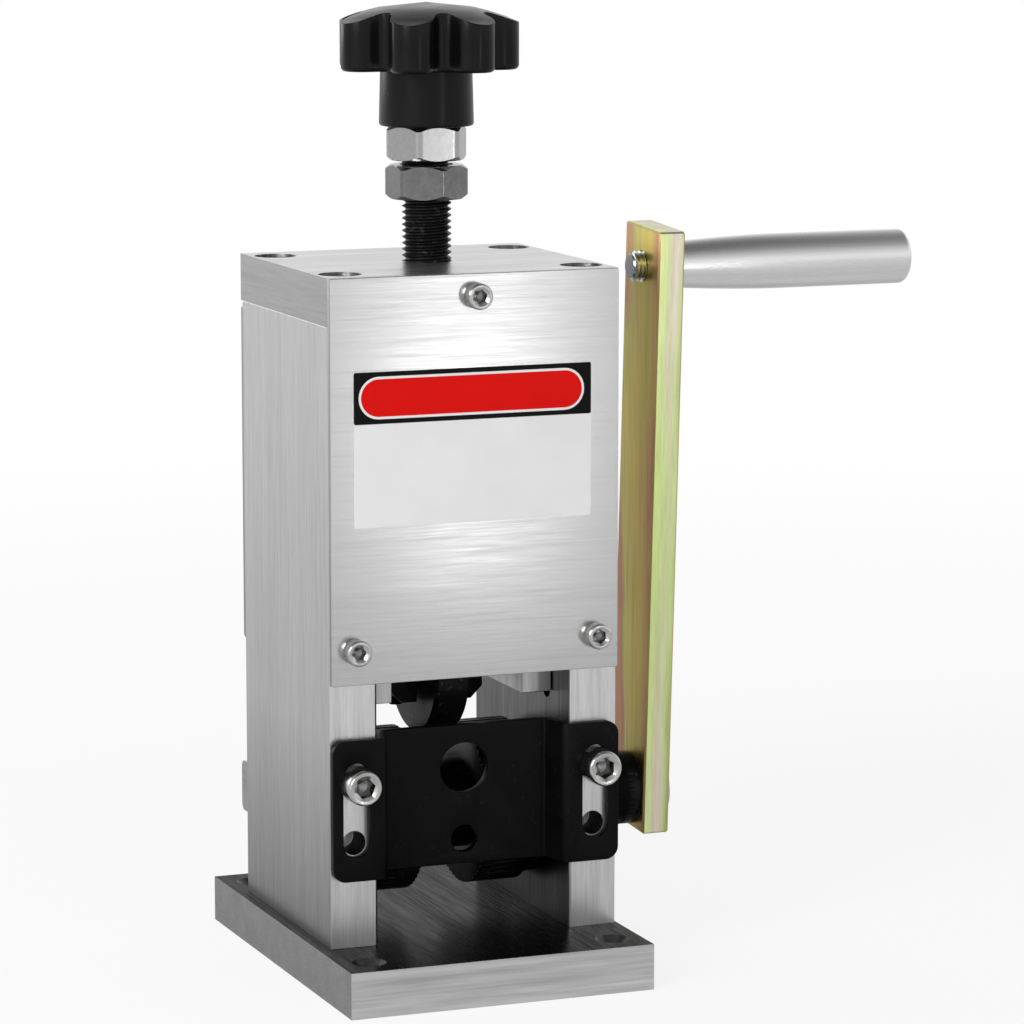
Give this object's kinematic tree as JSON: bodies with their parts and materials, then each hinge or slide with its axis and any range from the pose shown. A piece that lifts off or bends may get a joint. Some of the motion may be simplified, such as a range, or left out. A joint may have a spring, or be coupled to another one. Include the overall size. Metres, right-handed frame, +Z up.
{
  "type": "hand crank wire stripper",
  "caption": "Bench wire stripper: plate frame with covers, notched roller turned by a side crank, round blade on a sliding carriage set by a star knob, and a slotted wire guide",
  "frame": {"origin": "centre between the side plates, in the plane of the drive shaft, on the underside of the base", "axes": "+Z up, the wire goes in from the front on -Y, the crank is on +X"},
  "size_m": [0.2192, 0.1404, 0.3136],
  "materials": {
    "plate_aluminium": "brushed",
    "cover_aluminium": "brushed",
    "bright_steel": "satin",
    "black_paint": "satin",
    "blackened_steel": "satin",
    "yellow_zinc": "satin",
    "bearing_bronze": "satin",
    "grip_steel": "satin",
    "knob_plastic": "satin"
  },
  "bodies": {
    "frame": {"base_plate": "plate_aluminium", "left_side_plate": "plate_aluminium", "right_side_plate": "plate_aluminium", "top_plate": "plate_aluminium", "front_cover": "cover_aluminium", "rear_cover": "cover_aluminium", "front_cover_screws": "bright_steel", "rear_cover_screws": "bright_steel", "guide_screws": "bright_steel", "top_plate_screws": "bright_steel", "base_plate_screws": "bright_steel", "left_shaft_bush": "bearing_bronze", "right_shaft_bush": "bearing_bronze", "rear_tie_bar": "plate_aluminium", "rear_bar_screws": "bright_steel"},
    "guide": {"guide_plate": "black_paint"},
    "carriage": {"carriage_block": "plate_aluminium", "left_rails": "bright_steel", "right_rails": "bright_steel", "blade_yoke": "blackened_steel", "yoke_screws": "blackened_steel", "blade_axle": "bright_steel", "axle_lock_screw": "blackened_steel", "blade_washers": "bright_steel", "screw_keeper": "bright_steel", "keeper_screws": "blackened_steel"},
    "blade": {"blade_wheel": "blackened_steel", "blade_bush": "bearing_bronze"},
    "adjuster": {"adjusting_screw": "blackened_steel", "lower_nut": "bright_steel", "upper_nut": "bright_steel", "star_knob": "knob_plastic", "knob_insert": "bright_steel"},
    "crank": {"drive_shaft": "bright_steel", "roller_sleeve": "blackened_steel", "drive_roller": "blackened_steel", "roller_key": "bright_steel", "crank_hub": "black_paint", "hub_set_screw": "blackened_steel", "crank_arm": "yellow_zinc", "crank_washer": "bright_steel", "crank_screw": "bright_steel", "handle_stud": "bright_steel", "handle_washer": "black_paint"},
    "grip": {"handle_grip": "grip_steel"}
  },
  "joints": [
    {"name": "blade_height", "type": "slide", "parent": "frame", "child": "carriage", "axis": [0, 0, 1], "range_m": [-0.007, 0.01]},
    {"name": "blade_spin", "type": "hinge", "parent": "carriage", "child": "blade", "pos_m": [0, 0, 0.0988], "axis": [1, 0, 0], "continuous": true},
    {"name": "knob_turn", "type": "hinge", "parent": "carriage", "child": "adjuster", "pos_m": [0, 0, 0.2], "axis": [0, 0, 1], "range_deg": [-1261, 1801]},
    {"name": "guide_slide", "type": "slide", "parent": "frame", "child": "guide", "axis": [0, 0, 1], "range_m": [-0.0022, 0.016]},
    {"name": "crank_turn", "type": "hinge", "parent": "frame", "child": "crank", "pos_m": [0, 0, 0.0501], "axis": [1, 0, 0], "continuous": true},
    {"name": "grip_spin", "type": "hinge", "parent": "crank", "child": "grip", "pos_m": [0, -0.01018, 0.22671], "axis": [1, 0, 0], "continuous": true}
  ],
  "couplings": [
    {"joint": "knob_turn", "follows": "blade_height", "rad_per_m": 3141.6}
  ]
}
